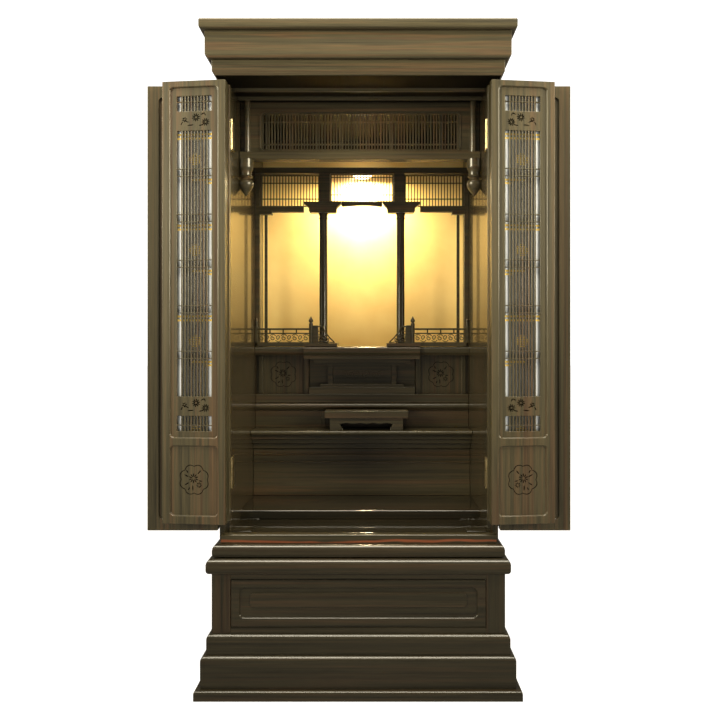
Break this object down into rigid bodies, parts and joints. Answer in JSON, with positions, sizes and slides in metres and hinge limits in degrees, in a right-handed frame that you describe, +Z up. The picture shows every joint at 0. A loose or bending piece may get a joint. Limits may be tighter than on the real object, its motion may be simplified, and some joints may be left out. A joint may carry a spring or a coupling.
{
  "type": "household altar cabinet",
  "caption": "Tall dark ebony household altar cabinet on a stepped plinth, with folding solid and lattice doors, a gold-backed sanctuary, a pull-out tray and a drawer.",
  "frame": {"origin": "on the floor, under the middle of the base plate", "axes": "+X to the right seen from the front, +Y towards the back, +Z up; the front faces -Y"},
  "size_m": [0.8834, 0.55, 1.36],
  "materials": {
    "ebony": "dark streaked ebony, satin-gloss lacquer",
    "floor_lacquer": "black high-gloss lacquer on board",
    "gold_panel": "matte pale gold leaf paper on board",
    "brass": "satin brass",
    "gauze": "silver-white silk gauze with gold brocade",
    "lamp_glass": "warm white frosted lamp"
  },
  "bodies": {
    "cabinet": {"base_plate": "ebony", "plinth_lower": "ebony", "plinth_upper": "ebony", "base_carcass": "ebony", "base_face_frame": "ebony", "counter_board": "ebony", "body_floor_board": "ebony", "side_panel_left": "ebony", "side_panel_right": "ebony", "back_panel": "ebony", "roof_lower": "ebony", "roof_upper": "ebony", "roof_cap": "ebony", "transom_panel": "ebony", "transom_lattice": "ebony", "transom_beam": "ebony", "dais_front": "ebony", "dais_top": "ebony", "step_wall": "ebony", "step_shelf": "ebony", "altar_plinth": "ebony", "altar_side_left": "ebony", "altar_side_right": "ebony", "altar_pedestal": "ebony", "altar_platform": "ebony", "railing_left": "ebony", "railing_right": "ebony", "column_left": "ebony", "column_right": "ebony", "bracket_left": "ebony", "bracket_right": "ebony", "sanctuary_beam": "ebony", "sanctuary_frame": "ebony", "grille_center": "ebony", "grille_left": "ebony", "grille_right": "ebony", "offering_table": "ebony", "floor_surround": "floor_lacquer", "gold_backboard": "gold_panel", "lamp": "lamp_glass", "hinge_plate_upper_left": "brass", "hinge_plate_upper_right": "brass", "hinge_plate_lower_left": "brass", "hinge_plate_lower_right": "brass"},
    "left_outer_hinge_leaf": {"outer_door_left_hinge_leaf": "ebony"},
    "left_inner_hinge_leaf": {"inner_door_left_hinge_leaf": "ebony", "gauze_left_hinge_leaf": "gauze"},
    "left_outer_fold_leaf": {"outer_door_left_fold_leaf": "ebony"},
    "left_inner_fold_leaf": {"inner_door_left_fold_leaf": "ebony", "gauze_left_fold_leaf": "gauze"},
    "right_outer_hinge_leaf": {"outer_door_right_hinge_leaf": "ebony"},
    "right_inner_hinge_leaf": {"inner_door_right_hinge_leaf": "ebony", "gauze_right_hinge_leaf": "gauze"},
    "right_outer_fold_leaf": {"outer_door_right_fold_leaf": "ebony"},
    "right_inner_fold_leaf": {"inner_door_right_fold_leaf": "ebony", "gauze_right_fold_leaf": "gauze"},
    "drawer": {"drawer_front": "ebony", "drawer_box": "ebony"},
    "tray": {"slide_tray_front": "ebony", "slide_tray": "floor_lacquer"}
  },
  "joints": [
    {"name": "left_outer_swing", "type": "hinge", "parent": "cabinet", "child": "left_outer_hinge_leaf", "pos_m": [-0.294, -0.203, 0.786], "axis": [0, 0, 1], "range_deg": [0, 180]},
    {"name": "left_outer_fold", "type": "hinge", "parent": "left_outer_hinge_leaf", "child": "left_outer_fold_leaf", "pos_m": [-0.442, -0.18275, 0.786], "axis": [0, 0, 1], "range_deg": [0, 180]},
    {"name": "left_inner_swing", "type": "hinge", "parent": "cabinet", "child": "left_inner_hinge_leaf", "pos_m": [-0.2665, -0.201, 0.796], "axis": [0, 0, 1], "range_deg": [0, 180]},
    {"name": "left_inner_fold", "type": "hinge", "parent": "left_inner_hinge_leaf", "child": "left_inner_fold_leaf", "pos_m": [-0.3995, -0.21975, 0.796], "axis": [0, 0, -1], "range_deg": [0, 174]},
    {"name": "right_outer_swing", "type": "hinge", "parent": "cabinet", "child": "right_outer_hinge_leaf", "pos_m": [0.294, -0.203, 0.786], "axis": [0, 0, -1], "range_deg": [0, 180]},
    {"name": "right_outer_fold", "type": "hinge", "parent": "right_outer_hinge_leaf", "child": "right_outer_fold_leaf", "pos_m": [0.442, -0.18275, 0.786], "axis": [0, 0, -1], "range_deg": [0, 180]},
    {"name": "right_inner_swing", "type": "hinge", "parent": "cabinet", "child": "right_inner_hinge_leaf", "pos_m": [0.2665, -0.201, 0.796], "axis": [0, 0, -1], "range_deg": [0, 180]},
    {"name": "right_inner_fold", "type": "hinge", "parent": "right_inner_hinge_leaf", "child": "right_inner_fold_leaf", "pos_m": [0.3995, -0.21975, 0.796], "axis": [0, 0, 1], "range_deg": [0, 174]},
    {"name": "drawer_slide", "type": "slide", "parent": "cabinet", "child": "drawer", "axis": [0, -1, 0], "range_m": [0, 0.3]},
    {"name": "tray_slide", "type": "slide", "parent": "cabinet", "child": "tray", "axis": [0, -1, 0], "range_m": [0, 0.16]}
  ],
  "couplings": [
    {"joint": "left_inner_swing", "follows": "left_outer_swing", "ratio": 1},
    {"joint": "right_inner_swing", "follows": "right_outer_swing", "ratio": 1}
  ]
}
